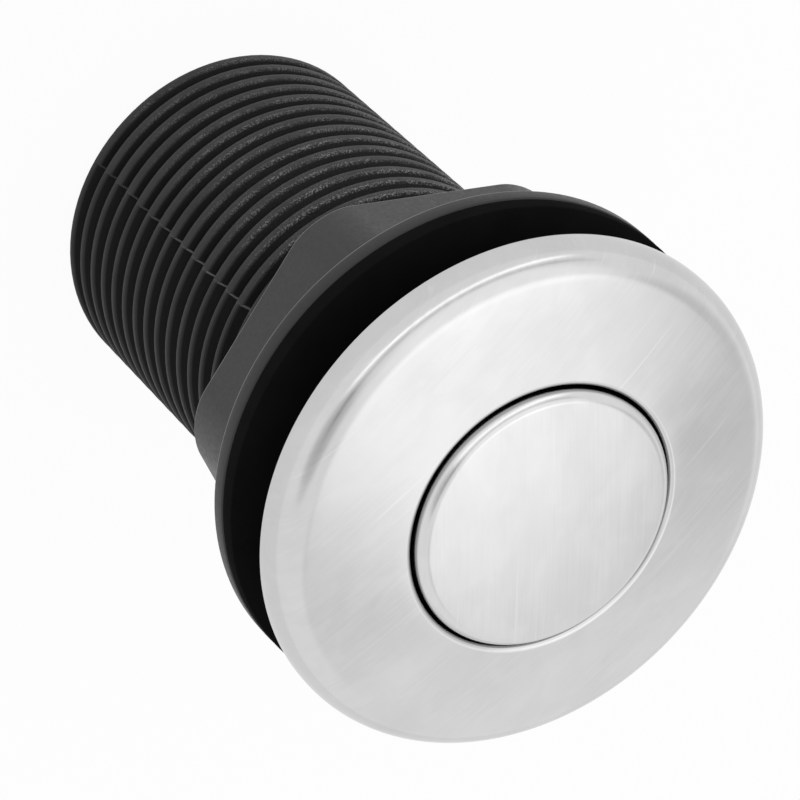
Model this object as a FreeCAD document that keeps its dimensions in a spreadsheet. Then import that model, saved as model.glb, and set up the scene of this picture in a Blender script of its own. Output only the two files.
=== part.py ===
"""Spa air switch: a stainless button in a domed bezel on a threaded plastic barrel.

Pressing the button squeezes a bellows inside the barrel, which sends a puff of air down
a hose from the barbed nipple in the barrel's rear end. A flanged nut with a rubber washer
clamps the deck between itself and the gasket under the bezel.

Millimetres. +Z runs out of the deck along the button's axis. Z = 0 is the deck's surface,
where the gasket seats, so the origin is the centre of the hole in the deck.
"""
import FreeCAD, Part
import math
import os
import re
import Sketcher

Vector = FreeCAD.Vector

# Driving dimensions, one cell each

SIZES = {
    # barrel and its thread, a one inch pipe thread, which the other radii follow
    "thread_radius": 16.6,
    "thread_depth": 1.45,
    "thread_pitch": 2.309,
    "crest_width": 0.7,
    "shank_length": 55.8,
    "neck_length": 2.65,
    "neck_wall": 2.7,
    "barrel_wall": 1.85,
    "plug_step": 0.5,
    "well_gap": 0.2,
    "well_depth": 10.8,
    "rear_chamfer": 0.5,
    "flange_top": 3.2,
    "flange_rim": 1.0,
    "flange_slope": 1.2,
    "skirt_height": 1.55,
    "guide_length": 9.2,
    # stamped bezel
    "bezel_height": 5.2,
    "bezel_lift": 0.3,
    "bezel_sheet": 0.45,
    "bezel_edge": 3.3,
    "bezel_wall": 0.576,
    "bezel_gap": 0.05,
    "lip_round": 0.55,
    "lip_depth": 1.65,
    # deck gasket
    "gasket_thickness": 2.0,
    "gasket_width": 5.45,
    "gasket_gap": 0.3,
    "recess_gap": 0.15,
    # stamped button cap
    "cap_gap": 0.35,
    "cap_proud": 0.9,
    "cap_edge": 1.0,
    "cap_dome": 150.0,
    "cap_sheet": 0.7,
    "cap_skirt": 2.6,
    "stroke": 4.0,
    "end_gap": 0.5,
    # nut and its washer
    "nut_depth": 7.24,
    "nut_reach": 7.12,
    "nut_rim": 1.6,
    "nut_wall": 2.22,
    "nut_height": 10.4,
    "nut_corner": 6.3,
    "nut_draft": 1.0,
    "nut_edge": 0.25,
    "thread_gap": 0.08,
    "mouth_chamfer": 0.8,
    "washer_thickness": 1.5,
    "washer_width": 6.9,
    "washer_gap": 0.25,
    "slip_gap": 0.05,
    # plunger and its seal
    "stem_inset": 1.65,
    "running_gap": 0.06,
    "head_gap": 0.05,
    "stop_side_gap": 0.5,
    "stop_thickness": 1.6,
    "stop_gap": 0.1,
    "plunger_wall": 2.0,
    "plunger_top": 2.4,
    "plunger_nose": 2.0,
    "rib_thickness": 1.2,
    "rib_height": 11.0,
    "seal_width": 1.5,
    "seal_depth": 1.2,
    "seal_drop": 2.4,
    "seal_gap": 0.03,
    # bellows and its collar
    "bellows_gap": 0.5,
    "bellows_fold": 2.9,
    "bellows_folds": 5,
    "bellows_wall": 0.7,
    "bellows_cap": 1.2,
    "spigot_radius": 6.0,
    "spigot_height": 3.4,
    "neck_rubber": 1.0,
    "neck_rise": 0.9,
    "collar_wall": 0.9,
    "collar_height": 2.0,
    # hose plug and the ring that holds it
    "plug_gap": 0.05,
    "plug_thickness": 5.0,
    "air_bore": 1.2,
    "nipple_radius": 2.1,
    "nipple_land": 4.5,
    "barb_radius": 2.5,
    "barb_length": 2.1,
    "barb_tip": 1.75,
    "ring_thickness": 1.1,
    "ring_width": 1.6,
    "ring_bite": 0.65,
    "ring_opening": 40.0,
    "eye_radius": 1.3,
    "eye_turn": 5.0,
}

# Places and radii that follow from the sizes above

FOLLOWING = {
    # barrel radii, from the thread inwards, and its rear end
    "thread_root": "thread_radius - thread_depth",
    "thread_count": "floor((shank_length - neck_length) / thread_pitch) + 1",
    "hole_radius": "thread_root - neck_wall",
    "well_radius": "hole_radius + well_gap",
    "plug_bore": "thread_root - barrel_wall",
    "chamber_radius": "plug_bore - plug_step",
    "stem_radius": "hole_radius - stem_inset",
    "guide_radius": "stem_radius + running_gap",
    "shank_end": "0 - shank_length",
    # gasket, flange and bezel, from the thread outwards
    "gasket_inside": "thread_radius + gasket_gap",
    "gasket_outside": "gasket_inside + gasket_width",
    "gasket_recess": "gasket_outside + recess_gap",
    "flange_radius": "gasket_recess + flange_rim",
    "skirt_bottom": "gasket_thickness - skirt_height",
    "bezel_inside": "flange_radius + bezel_gap",
    "bezel_radius": "bezel_inside + bezel_sheet",
    # bezel dome: the arc that runs smoothly into both the lip's round and the edge's round
    "bezel_crown": "bezel_lift + bezel_height",
    "lip_centre": "bezel_crown - lip_round",
    "lip_bottom": "lip_centre - lip_depth",
    "edge_centre": "bezel_lift + bezel_wall",
    "lip_middle": "hole_radius + lip_round",
    "edge_middle": "bezel_radius - bezel_edge",
    "dome_fall": "lip_centre - edge_centre",
    "round_step": "(bezel_edge - lip_round) / dome_fall",
    "dome_square": "edge_middle^2 - lip_middle^2 + dome_fall^2 - (bezel_edge - lip_round)^2",
    "dome_half": "dome_square / (2 * dome_fall)",
    "dome_root": "sqrt((dome_half * round_step)^2 + (1 - round_step^2) * (lip_middle^2 + dome_half^2))",
    "dome_radius": "lip_round + (dome_half * round_step + dome_root) / (1 - round_step^2)",
    "dome_centre": "lip_centre - sqrt((dome_radius - lip_round)^2 - lip_middle^2)",
    "edge_join": "edge_middle * dome_radius / (dome_radius - bezel_edge)",
    "edge_rise": "sqrt(dome_radius^2 - edge_join^2)",
    "lip_join": "lip_middle * dome_radius / (dome_radius - lip_round)",
    "lip_rise": "sqrt(dome_radius^2 - lip_join^2)",
    "sheet_share": "(dome_radius - bezel_sheet) / dome_radius",
    # button cap
    "cap_radius": "hole_radius - cap_gap",
    "cap_top": "bezel_crown + cap_proud",
    "cap_inside": "cap_radius - cap_sheet",
    "cap_join": "(cap_radius - cap_edge) * cap_dome / (cap_dome - cap_edge)",
    "cap_rise": "sqrt(cap_dome^2 - cap_join^2)",
    "cap_centre": "cap_top - cap_rise",
    "cap_share": "(cap_dome - cap_edge) / cap_dome",
    "cap_edge_centre": "cap_centre + cap_rise * cap_share",
    "cap_sheet_share": "(cap_dome - cap_sheet) / cap_dome",
    "cap_bottom": "cap_edge_centre - cap_skirt",
    "cap_roof": "cap_centre + cap_rise * cap_sheet_share",
    # plunger, and the ledge and guide that it works in
    "ledge_top": "cap_bottom - stroke - end_gap",
    "ledge_bottom": "ledge_top - guide_length",
    "head_radius": "cap_inside - head_gap",
    "head_top": "cap_roof - head_gap",
    "head_bottom": "cap_bottom + head_gap",
    "stop_radius": "chamber_radius - stop_side_gap",
    "stop_top": "ledge_bottom - stop_gap",
    "stop_bottom": "stop_top - stop_thickness",
    "nose_bottom": "stop_bottom - plunger_nose",
    "core_radius": "stem_radius - plunger_wall",
    "core_roof": "head_top - plunger_top",
    "seal_top": "ledge_top - seal_drop",
    "seal_bottom": "seal_top - seal_width",
    "groove_radius": "stem_radius - seal_depth",
    # nut and washer
    "nut_front": "0 - nut_depth",
    "nut_bore": "thread_radius + thread_gap",
    "nut_flats": "(nut_bore + nut_wall) * 2",
    "nut_flange": "nut_bore + nut_reach",
    "nut_length": "nut_rim + nut_height",
    "washer_top": "washer_thickness + slip_gap - nut_depth",
    "washer_inside": "thread_radius + washer_gap",
    "washer_radius": "washer_inside + washer_width",
    # plug, ring and nipple
    "plug_radius": "plug_bore - plug_gap",
    "plug_bottom": "shank_end + well_depth",
    "plug_top": "plug_bottom + plug_thickness",
    "spigot_top": "plug_top + spigot_height",
    "plug_seal_top": "plug_top - (plug_thickness - seal_width) / 2",
    "plug_seal_bottom": "plug_seal_top - seal_width",
    "plug_groove": "plug_radius - seal_depth",
    "land_bottom": "plug_bottom - nipple_land",
    "barb_bottom": "land_bottom - barb_length",
    "tip_bottom": "barb_bottom - barb_length",
    "ring_outside": "plug_bore + ring_bite",
    "ring_inside": "ring_outside - ring_width",
    "ring_groove": "ring_outside + plug_gap",
    "ring_top": "plug_bottom - plug_gap",
    "ring_bottom": "ring_top - ring_thickness",
    "ring_slot": "ring_bottom - plug_gap",
    # bellows, from its closed top down to the neck on the plug
    "bellows_radius": "chamber_radius - bellows_gap",
    "bellows_root": "bellows_radius - bellows_fold",
    "bellows_top": "nose_bottom - stop_gap",
    "folds_top": "bellows_top - bellows_cap",
    "neck_top": "spigot_top + neck_rise",
    "bellows_pitch": "(folds_top - neck_top) / (bellows_folds + 0.5)",
    "folds_bottom": "neck_top + bellows_pitch / 2",
    "neck_outside": "spigot_radius + neck_rubber",
}

doc = FreeCAD.newDocument("AirSwitch")
sheet = doc.addObject("Spreadsheet::Sheet", "Sizes")

row = 0
for alias, size in SIZES.items():
    row += 1
    sheet.set("A%d" % row, alias.replace("_", " "))
    sheet.set("B%d" % row, str(size))
    sheet.setAlias("B%d" % row, alias)
for alias, formula in FOLLOWING.items():
    row += 1
    sheet.set("A%d" % row, alias.replace("_", " "))
    sheet.set("B%d" % row, "=" + formula)
    sheet.setAlias("B%d" % row, alias)
doc.recompute()


def bound(text):
    """The expression with each alias named as a cell of the sheet."""
    return re.sub(r"\b([a-z][a-z_]*)\b(?!\()", r"Sizes.\1", text)


def number(text):
    """What the expression comes to, in millimetres."""
    value = sheet.evalExpression(text)
    return float(getattr(value, "Value", value))


def new_body(name, height="0"):
    """A body for one piece, lifted to its height above the deck."""
    body = doc.addObject("PartDesign::Body", name)
    body.Label = name
    if height != "0":
        body.setExpression(".Placement.Base.z", bound(height))
    return body


def origin_plane(body, role):
    return next(item for item in body.Origin.OriginFeatures if item.Role == role)


def pin_point(sketch, geometry, end, across, up):
    """Hold a point of the sketch at two distances from its axes, both bound to the sheet."""
    for kind, axis, text in (("DistanceX", -2, across), ("DistanceY", -1, up)):
        if text == "0":
            sketch.addConstraint(Sketcher.Constraint("PointOnObject", geometry, end, axis))
            continue
        rule = Sketcher.Constraint(kind, -1, 1, geometry, end, number(text))
        index = sketch.addConstraint(rule)
        sketch.setExpression("Constraints[%d]" % index, bound(text))


def arc_between(start, end, radius, turn):
    """The short arc from start to end, bulging to the right of the way there if turn is 1."""
    chord = end.sub(start)
    half = chord.Length / 2
    middle = start.add(end).multiply(0.5)
    left = Vector(-chord.y, chord.x, 0).normalize()
    centre = middle.add(left.multiply(turn * math.sqrt(max(radius**2 - half**2, 0.0))))
    first, last = (start, end) if turn > 0 else (end, start)
    begin = math.atan2(first.y - centre.y, first.x - centre.x)
    finish = math.atan2(last.y - centre.y, last.x - centre.x)
    return Part.ArcOfCircle(Part.Circle(centre, Vector(0, 0, 1), radius), begin, finish)


def section(body, name, corners, plane="XZ_Plane"):
    """A closed sketch through the corners.

    A corner is (across, up), and the edge that leaves it is straight, or
    (across, up, radius, turn), and that edge is an arc.
    """
    sketch = body.newObject("Sketcher::SketchObject", name)
    sketch.AttachmentSupport = (origin_plane(body, plane), [""])
    sketch.MapMode = "FlatFace"
    spots = [Vector(number(corner[0]), number(corner[1]), 0) for corner in corners]
    begins, finishes = [], []
    for index, corner in enumerate(corners):
        start, end = spots[index], spots[(index + 1) % len(spots)]
        if len(corner) == 2:
            sketch.addGeometry(Part.LineSegment(start, end))
            begins.append(1)
            finishes.append(2)
            continue
        radius, turn = corner[2], corner[3]
        sketch.addGeometry(arc_between(start, end, number(radius), turn))
        begins.append(1 if turn > 0 else 2)
        finishes.append(2 if turn > 0 else 1)
    for index in range(len(corners)):
        after = (index + 1) % len(corners)
        joint = Sketcher.Constraint("Coincident", index, finishes[index], after, begins[after])
        sketch.addConstraint(joint)
    for index, corner in enumerate(corners):
        pin_point(sketch, index, begins[index], corner[0], corner[1])
        if len(corner) == 4:
            held = sketch.addConstraint(Sketcher.Constraint("Radius", index, number(corner[2])))
            sketch.setExpression("Constraints[%d]" % held, bound(corner[2]))
    return sketch


def turned(body, name, corners, kind="Revolution"):
    """A solid of revolution about the body's Z axis, or with kind Groove a cut."""
    sketch = section(body, name + "Section", corners)
    feature = body.newObject("PartDesign::" + kind, name)
    feature.Profile = sketch
    feature.ReferenceAxis = (sketch, ["V_Axis"])
    feature.Angle = 360
    sketch.Visibility = False
    body.Tip = feature
    return feature


# Bezel: one stamping of stainless sheet, domed, with its edge drawn down to a short wall
# and a lip rolled into the hole

bezel = new_body("bezel_cover")
turned(bezel, "Stamping", [
    ("bezel_inside", "bezel_lift"),
    ("bezel_radius", "bezel_lift"),
    ("bezel_radius", "edge_centre", "bezel_edge", 1),
    ("edge_join", "dome_centre + edge_rise", "dome_radius", 1),
    ("lip_join", "dome_centre + lip_rise", "lip_round", 1),
    ("hole_radius", "lip_centre"),
    ("hole_radius", "lip_bottom"),
    ("hole_radius + bezel_sheet", "lip_bottom"),
    ("hole_radius + bezel_sheet", "lip_centre", "lip_round - bezel_sheet", -1),
    (
        "lip_join * sheet_share",
        "dome_centre + lip_rise * sheet_share",
        "dome_radius - bezel_sheet",
        -1,
    ),
    (
        "edge_join * sheet_share",
        "dome_centre + edge_rise * sheet_share",
        "bezel_edge - bezel_sheet",
        -1,
    ),
    ("bezel_inside", "edge_centre"),
])

# Button cap: a stamped cup with a slightly crowned face, pressed over the plunger's head

cap = new_body("button_cap")
turned(cap, "Stamping", [
    ("0", "cap_centre + cap_dome - cap_sheet"),
    ("0", "cap_centre + cap_dome", "cap_dome", -1),
    ("cap_join", "cap_top", "cap_edge", -1),
    ("cap_radius", "cap_edge_centre"),
    ("cap_radius", "cap_bottom"),
    ("cap_inside", "cap_bottom"),
    ("cap_inside", "cap_edge_centre", "cap_edge - cap_sheet", 1),
    ("cap_join * cap_sheet_share", "cap_roof", "cap_dome - cap_sheet", 1),
])

# Barrel: one moulding with the flange under the bezel, the well for the cap, the guide for
# the plunger, the chamber for the bellows, and the bore for the hose plug

barrel = new_body("threaded_barrel")
shank = turned(barrel, "Shank", [
    ("well_radius", "flange_top"),
    ("well_radius", "ledge_top"),
    ("guide_radius", "ledge_top"),
    ("guide_radius", "ledge_bottom"),
    ("chamber_radius", "ledge_bottom"),
    ("chamber_radius", "plug_top"),
    ("plug_bore", "plug_top"),
    ("plug_bore", "ring_top"),
    ("ring_groove", "ring_top"),
    ("ring_groove", "ring_slot"),
    ("plug_bore", "ring_slot"),
    ("plug_bore", "shank_end + rear_chamfer"),
    ("plug_bore + rear_chamfer", "shank_end"),
    ("thread_radius", "shank_end"),
    ("thread_radius", "gasket_thickness"),
    ("gasket_recess", "gasket_thickness"),
    ("gasket_recess", "skirt_bottom"),
    ("flange_radius", "skirt_bottom"),
    ("flange_radius", "edge_centre"),
    ("flange_radius - flange_slope / 2", "flange_top - flange_slope"),
    ("flange_radius - flange_slope * 1.5", "flange_top"),
])

# The thread's V, cut once and repeated down the shank. Each turn is a ring here, at the
# thread's pitch, depth and crest width

vee_half = "(thread_pitch - crest_width) / 2 * (1 + 0.2 / thread_depth)"
vee = turned(barrel, "ThreadVee", [
    ("thread_root", "0 - neck_length"),
    ("thread_radius + 0.2", "0 - neck_length - %s" % vee_half),
    ("thread_radius + 0.2", "%s - neck_length" % vee_half),
], kind="Groove")
doc.recompute()
thread = barrel.newObject("PartDesign::LinearPattern", "Thread")
thread.Originals = [vee]
thread.Direction = (vee.Profile[0], ["V_Axis"])
thread.Reversed = True
thread.setExpression("Occurrences", bound("thread_count"))
thread.setExpression("Length", bound("thread_pitch * (thread_count - 1)"))
barrel.Tip = thread

# Deck gasket: a flat rubber ring in the flange's recess

gasket = new_body("deck_gasket")
turned(gasket, "Ring", [
    ("gasket_inside", "0"),
    ("gasket_outside", "0"),
    ("gasket_outside", "gasket_thickness"),
    ("gasket_inside", "gasket_thickness"),
])

# Clamp washer: a flat rubber ring on the nut's face. It slides on the thread with the nut
# and doesn't turn

washer = new_body("clamp_washer", "washer_top")
turned(washer, "Ring", [
    ("washer_inside", "0 - washer_thickness"),
    ("washer_radius", "0 - washer_thickness"),
    ("washer_radius", "0"),
    ("washer_inside", "0"),
])

# Locknut: a moulded round flange with a tapered hexagon behind it. Its origin is the centre
# of the flange's front face, and the hexagon points down the barrel

nut = new_body("locknut", "nut_front")
turned(nut, "Flange", [
    ("0", "0 - nut_rim"),
    ("nut_flange - nut_edge", "0 - nut_rim"),
    ("nut_flange", "nut_edge - nut_rim"),
    ("nut_flange", "0 - nut_edge"),
    ("nut_flange - nut_edge", "0"),
    ("0", "0"),
])
hexagon = nut.newObject("Sketcher::SketchObject", "Hexagon")
hexagon.AttachmentSupport = (origin_plane(nut, "XY_Plane"), [""])
hexagon.MapMode = "FlatFace"
reach = number("nut_flats / 2 / cos(30)")
points = [
    Vector(reach * math.cos(math.radians(60 * k)), reach * math.sin(math.radians(60 * k)), 0)
    for k in range(6)
]
for k in range(6):
    hexagon.addGeometry(Part.LineSegment(points[k], points[(k + 1) % 6]))
guide_circle = hexagon.addGeometry(Part.Circle(Vector(0, 0, 0), Vector(0, 0, 1), reach), True)
for k in range(6):
    hexagon.addConstraint(Sketcher.Constraint("Coincident", k, 2, (k + 1) % 6, 1))
    hexagon.addConstraint(Sketcher.Constraint("PointOnObject", k, 1, guide_circle))
for k in range(5):
    hexagon.addConstraint(Sketcher.Constraint("Equal", k, k + 1))
hexagon.addConstraint(Sketcher.Constraint("Coincident", guide_circle, 3, -1, 1))
hexagon.addConstraint(Sketcher.Constraint("PointOnObject", 0, 1, -1))
across = hexagon.addConstraint(Sketcher.Constraint("Radius", guide_circle, reach))
hexagon.setExpression("Constraints[%d]" % across, bound("nut_flats / 2 / cos(30)"))
hexagon.AttachmentOffset = FreeCAD.Placement(Vector(0, 0, -number("nut_length")), FreeCAD.Rotation())
hexagon.setExpression(".AttachmentOffset.Base.z", bound("0 - nut_length"))
prism = nut.newObject("PartDesign::Pad", "Prism")
prism.Profile = hexagon
prism.setExpression("Length", bound("nut_height"))
prism.setExpression("TaperAngle", bound("nut_draft"))
nut.Tip = prism
doc.recompute()


def corner_edges(feature):
    """Names of the prism's six leaning corner edges."""
    names = []
    for index, edge in enumerate(feature.Shape.Edges, 1):
        low, high = edge.Vertexes[0].Point, edge.Vertexes[-1].Point
        if abs(high.z - low.z) > number("nut_height") * 0.9:
            names.append("Edge%d" % index)
    return names


rounded = nut.newObject("PartDesign::Fillet", "Corners")
rounded.Base = (prism, corner_edges(prism))
rounded.setExpression("Radius", bound("nut_corner"))
nut.Tip = rounded
doc.recompute()
turned(nut, "Bore", [
    ("0", "0 - nut_length"),
    ("nut_bore + mouth_chamfer", "0 - nut_length"),
    ("nut_bore", "mouth_chamfer - nut_length"),
    ("nut_bore", "0 - mouth_chamfer"),
    ("nut_bore + mouth_chamfer", "0"),
    ("0", "0"),
], kind="Groove")

# Plunger: a moulding with a head inside the cap, a stem in the barrel's guide, a groove for
# the seal, a flange that stops it on the way up, and crossed ribs in its hollow core

plunger = new_body("button_plunger")
turned(plunger, "Stem", [
    ("0", "core_roof"),
    ("core_radius", "core_roof"),
    ("core_radius", "nose_bottom"),
    ("stem_radius", "nose_bottom"),
    ("stem_radius", "stop_bottom"),
    ("stop_radius", "stop_bottom"),
    ("stop_radius", "stop_top"),
    ("stem_radius", "stop_top"),
    ("stem_radius", "seal_bottom"),
    ("groove_radius", "seal_bottom"),
    ("groove_radius", "seal_top"),
    ("stem_radius", "seal_top"),
    ("stem_radius", "head_bottom"),
    ("head_radius", "head_bottom"),
    ("head_radius", "head_top - cap_edge"),
    ("head_radius - cap_edge", "head_top"),
    ("0", "head_top"),
])
doc.recompute()
rib_plan = plunger.newObject("Sketcher::SketchObject", "RibPlan")
rib_plan.AttachmentSupport = (origin_plane(plunger, "XY_Plane"), [""])
rib_plan.MapMode = "FlatFace"
rib_plan.AttachmentOffset = FreeCAD.Placement(Vector(0, 0, number("core_roof")), FreeCAD.Rotation())
rib_plan.setExpression(".AttachmentOffset.Base.z", bound("core_roof"))
span, half = "core_radius + plunger_wall / 4", "rib_thickness / 2"
plan = [
    ("0 - (%s)" % span, "0 - " + half),
    (span, "0 - " + half),
    (span, half),
    ("0 - (%s)" % span, half),
]
spots = [Vector(number(x), number(y), 0) for x, y in plan]
for k in range(4):
    rib_plan.addGeometry(Part.LineSegment(spots[k], spots[(k + 1) % 4]))
for k in range(4):
    rib_plan.addConstraint(Sketcher.Constraint("Coincident", k, 2, (k + 1) % 4, 1))
for k in range(4):
    pin_point(rib_plan, k, 1, plan[k][0], plan[k][1])
rib = plunger.newObject("PartDesign::Pad", "Rib")
rib.Profile = rib_plan
rib.Reversed = True
rib.setExpression("Length", bound("rib_height"))
plunger.Tip = rib
doc.recompute()
cross = plunger.newObject("PartDesign::PolarPattern", "RibCross")
cross.Originals = [rib]
cross.Axis = (rib_plan, ["N_Axis"])
cross.Angle = 90
cross.Occurrences = 2
plunger.Tip = cross

# Plunger seal: a square rubber ring in the stem's groove

seal = new_body("plunger_seal")
turned(seal, "Ring", [
    ("groove_radius + seal_gap", "seal_bottom + seal_gap"),
    ("guide_radius - seal_gap", "seal_bottom + seal_gap"),
    ("guide_radius - seal_gap", "seal_top - seal_gap"),
    ("groove_radius + seal_gap", "seal_top - seal_gap"),
])

# Bellows: a moulded rubber cup with a closed top, folds that press flat, and a neck that
# is stretched over the plug's spigot

bellows = new_body("bellows")
outside, inside = [], []
for fold in range(int(number("bellows_folds"))):
    crest = "folds_top - bellows_pitch * %d" % fold
    root = "folds_top - bellows_pitch * %.1f" % (fold + 0.5)
    outside += [("bellows_radius", crest), ("bellows_root", root)]
    inside += [("bellows_radius - bellows_wall", crest), ("bellows_root - bellows_wall", root)]
outside.append(("bellows_radius", "folds_bottom"))
inside.append(("bellows_radius - bellows_wall * 2", "folds_bottom"))
turned(bellows, "Cup", [
    ("0", "bellows_top"),
    ("bellows_radius", "bellows_top"),
] + outside + [
    ("neck_outside", "neck_top"),
    ("neck_outside", "plug_top + plug_gap"),
    ("spigot_radius", "plug_top + plug_gap"),
    ("spigot_radius", "neck_top + bellows_wall"),
] + inside[::-1] + [
    ("0", "folds_top"),
])

# Bellows collar: a ring that grips the neck on the spigot

collar = new_body("bellows_collar", "plug_top + spigot_height / 2")
turned(collar, "Ring", [
    ("neck_outside + plug_gap", "0 - collar_height / 2"),
    ("neck_outside + plug_gap + collar_wall", "0 - collar_height / 2"),
    ("neck_outside + plug_gap + collar_wall", "collar_height / 2"),
    ("neck_outside + plug_gap", "collar_height / 2"),
])

# Hose plug: a moulded disc with the bellows' spigot above, the barbed nipple below, and the
# air way through both

plug = new_body("hose_plug")
turned(plug, "Plug", [
    ("air_bore", "spigot_top"),
    ("air_bore", "tip_bottom"),
    ("barb_tip", "tip_bottom"),
    ("barb_radius", "barb_bottom"),
    ("nipple_radius", "barb_bottom"),
    ("barb_radius", "land_bottom"),
    ("nipple_radius", "land_bottom"),
    ("nipple_radius", "plug_bottom"),
    ("plug_radius", "plug_bottom"),
    ("plug_radius", "plug_seal_bottom"),
    ("plug_groove", "plug_seal_bottom"),
    ("plug_groove", "plug_seal_top"),
    ("plug_radius", "plug_seal_top"),
    ("plug_radius", "plug_top"),
    ("spigot_radius - plug_gap", "plug_top"),
    ("spigot_radius - plug_gap", "spigot_top"),
])

# Plug seal: a square rubber ring round the plug

plug_seal = new_body("plug_seal")
turned(plug_seal, "Ring", [
    ("plug_groove + seal_gap", "plug_seal_bottom + seal_gap"),
    ("plug_bore - seal_gap", "plug_seal_bottom + seal_gap"),
    ("plug_bore - seal_gap", "plug_seal_top - seal_gap"),
    ("plug_groove + seal_gap", "plug_seal_top - seal_gap"),
])

# Retaining ring: a split spring steel ring in the barrel's groove, with an eye at each end
# for the pliers

ring = new_body("retaining_ring", "ring_bottom")
band = turned(ring, "Band", [
    ("ring_inside", "0"),
    ("ring_outside", "0"),
    ("ring_outside", "ring_thickness"),
    ("ring_inside", "ring_thickness"),
])
band.Midplane = True
band.setExpression("Angle", bound("360 - ring_opening"))
doc.recompute()
eye_plan = ring.newObject("Sketcher::SketchObject", "EyePlan")
eye_plan.AttachmentSupport = (origin_plane(ring, "XY_Plane"), [""])
eye_plan.MapMode = "FlatFace"
eye_across = "0 - ring_inside * cos(ring_opening / 2 + eye_turn)"
eye_up = "ring_inside * sin(ring_opening / 2 + eye_turn)"
spot = Vector(number(eye_across), number(eye_up), 0)
for radius in ("eye_radius", "eye_radius / 2"):
    eye = eye_plan.addGeometry(Part.Circle(spot, Vector(0, 0, 1), number(radius)))
    held = eye_plan.addConstraint(Sketcher.Constraint("Radius", eye, number(radius)))
    eye_plan.setExpression("Constraints[%d]" % held, bound(radius))
pin_point(eye_plan, 0, 3, eye_across, eye_up)
eye_plan.addConstraint(Sketcher.Constraint("Coincident", 1, 3, 0, 3))
lug = ring.newObject("PartDesign::Pad", "Eye")
lug.Profile = eye_plan
lug.setExpression("Length", bound("ring_thickness"))
ring.Tip = lug
doc.recompute()
eyes = ring.newObject("PartDesign::Mirrored", "Eyes")
eyes.Originals = [lug]
eyes.MirrorPlane = (origin_plane(ring, "XZ_Plane"), [""])
ring.Tip = eyes

# Check every object, then write each piece to its own file

doc.recompute()
for item in doc.Objects:
    if "Invalid" in item.State or "Error" in item.State:
        raise RuntimeError("%s is %s" % (item.Label, item.State))
pieces = [item for item in doc.Objects if item.TypeId == "PartDesign::Body"]
for piece in pieces:
    if piece.Shape.isNull() or not piece.Shape.isValid() or len(piece.Shape.Solids) != 1:
        raise RuntimeError("%s is not one sound solid" % piece.Label)
os.makedirs("parts", exist_ok=True)
for piece in pieces:
    piece.Shape.exportStep("parts/%s.step" % piece.Label)
    print("%-16s %8.0f mm3" % (piece.Label, piece.Shape.Volume))
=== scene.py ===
"""Looks of the spa air switch: brushed stainless bezel and button, black barrel, grey nut."""

import math

import bpy
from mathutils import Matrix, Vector


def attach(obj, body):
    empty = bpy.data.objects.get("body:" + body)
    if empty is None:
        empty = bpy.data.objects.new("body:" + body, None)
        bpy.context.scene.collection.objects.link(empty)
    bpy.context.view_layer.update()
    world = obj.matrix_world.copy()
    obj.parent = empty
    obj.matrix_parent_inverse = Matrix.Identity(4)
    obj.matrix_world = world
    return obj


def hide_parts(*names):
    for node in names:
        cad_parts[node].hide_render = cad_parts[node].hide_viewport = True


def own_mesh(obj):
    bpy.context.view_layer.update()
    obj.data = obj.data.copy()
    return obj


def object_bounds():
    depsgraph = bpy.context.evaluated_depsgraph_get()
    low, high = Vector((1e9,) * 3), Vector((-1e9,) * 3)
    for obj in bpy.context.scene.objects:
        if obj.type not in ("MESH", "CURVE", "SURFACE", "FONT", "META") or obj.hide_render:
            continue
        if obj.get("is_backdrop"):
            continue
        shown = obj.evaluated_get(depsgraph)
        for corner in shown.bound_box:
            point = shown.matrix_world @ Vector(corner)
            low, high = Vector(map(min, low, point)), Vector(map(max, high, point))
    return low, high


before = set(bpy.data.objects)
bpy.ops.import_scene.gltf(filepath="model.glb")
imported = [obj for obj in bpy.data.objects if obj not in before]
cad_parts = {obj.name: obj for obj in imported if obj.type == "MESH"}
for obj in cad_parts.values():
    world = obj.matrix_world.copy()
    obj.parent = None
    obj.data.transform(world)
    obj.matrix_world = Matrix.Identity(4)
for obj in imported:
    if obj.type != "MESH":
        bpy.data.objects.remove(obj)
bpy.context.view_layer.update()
MM = 0.001

# Bezel cover: the domed ring that the button sits in. It is one stamping of brushed stainless
# sheet, with its edge drawn down to a short wall and a lip rolled into the hole, and it snaps
# over the barrel's flange.

BEZEL_RADIUS = 24.0
BEZEL_FOOT = 0.3
BEZEL_CROWN = 5.5
SHEET = 0.45
EDGE_ROUND = 3.3
DOME = 104.47
HOLE = 12.38
LIP_ROUND = 0.55
LIP_DEPTH = 1.65


def arc(across, up, radius, start, end, count):
    """Points on an arc of the outline, from one angle to the other, both ends included."""
    turns = [start + (end - start) * k / count for k in range(count + 1)]
    return [
        (across + radius * math.cos(math.radians(turn)), up + radius * math.sin(math.radians(turn)))
        for turn in turns
    ]


def start_outline(name):
    """A new mesh in edit mode that holds one selected point at the origin."""
    bpy.ops.object.select_all(action="DESELECT")
    bpy.ops.mesh.primitive_plane_add(size=MM)
    piece = bpy.context.object
    piece.name = name
    piece.data.name = name
    bpy.ops.object.mode_set(mode="EDIT")
    bpy.ops.mesh.select_mode(type="VERT")
    bpy.ops.mesh.select_all(action="SELECT")
    bpy.ops.mesh.merge(type="CENTER")
    return piece


def draw_outline(points):
    """Extrude the selected point through the outline's points, given as (across, up) in mm."""
    places = [Vector((across * MM, 0, up * MM)) for across, up in points]
    bpy.ops.transform.translate(value=places[0])
    for here, there in zip(places, places[1:]):
        step = there - here
        bpy.ops.mesh.extrude_region_move(TRANSFORM_OT_translate={"value": step})


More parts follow.
